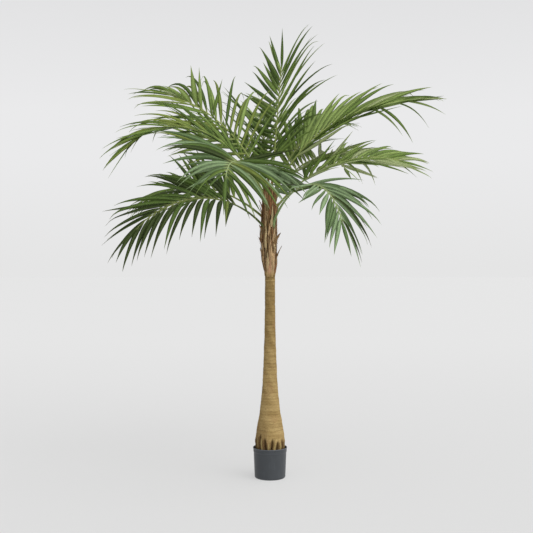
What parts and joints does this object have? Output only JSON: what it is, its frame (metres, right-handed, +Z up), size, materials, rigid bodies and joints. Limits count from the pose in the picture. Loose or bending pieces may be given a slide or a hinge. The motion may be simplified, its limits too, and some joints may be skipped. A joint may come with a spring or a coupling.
{
  "type": "artificial majesty palm in a pot",
  "caption": "Tall artificial feather palm: arching fronds on a ringed, swollen trunk with a fibrous neck, standing in a plain round nursery pot.",
  "frame": {"origin": "centre of the pot's flat underside", "axes": "+Z up along the trunk; the crown's front as pictured faces -Y, its right is +X"},
  "size_m": [1.8314, 1.8456, 2.4662],
  "materials": {
    "pot_plastic": "satin dark grey moulded plastic",
    "cement_fill": "black topped cement ballast",
    "trunk_skin": "tan ringed woven skin",
    "palm_fibre": "brown palm fibre and dry leaf bases",
    "frond_green": "mid green printed leaf cloth",
    "frond_shade": "dark green printed leaf cloth",
    "frond_blue": "cool green printed leaf cloth"
  },
  "bodies": {
    "root": {"pot": "pot_plastic", "pot_fill": "cement_fill", "trunk": "trunk_skin", "fibre_sheath": "palm_fibre", "frond_top": "frond_green", "frond_upper_left": "frond_green", "frond_left_inner": "frond_green", "frond_left_outer": "frond_green", "frond_front_left_inner": "frond_blue", "frond_front_left_outer": "frond_blue", "frond_low_left_inner": "frond_shade", "frond_low_left_outer": "frond_shade", "frond_upper_right_inner": "frond_green", "frond_upper_right_outer": "frond_green", "frond_right_inner": "frond_green", "frond_right_outer": "frond_green", "frond_low_right_inner": "frond_blue", "frond_low_right_outer": "frond_blue", "frond_back_low_left_inner": "frond_shade", "frond_back_low_left_outer": "frond_shade", "frond_back": "frond_shade", "frond_back_right_inner": "frond_shade", "frond_back_right_outer": "frond_shade", "frond_centre_back_inner": "frond_shade", "frond_centre_back_outer": "frond_shade", "frond_upper_back": "frond_shade"}
  },
  "joints": []
}
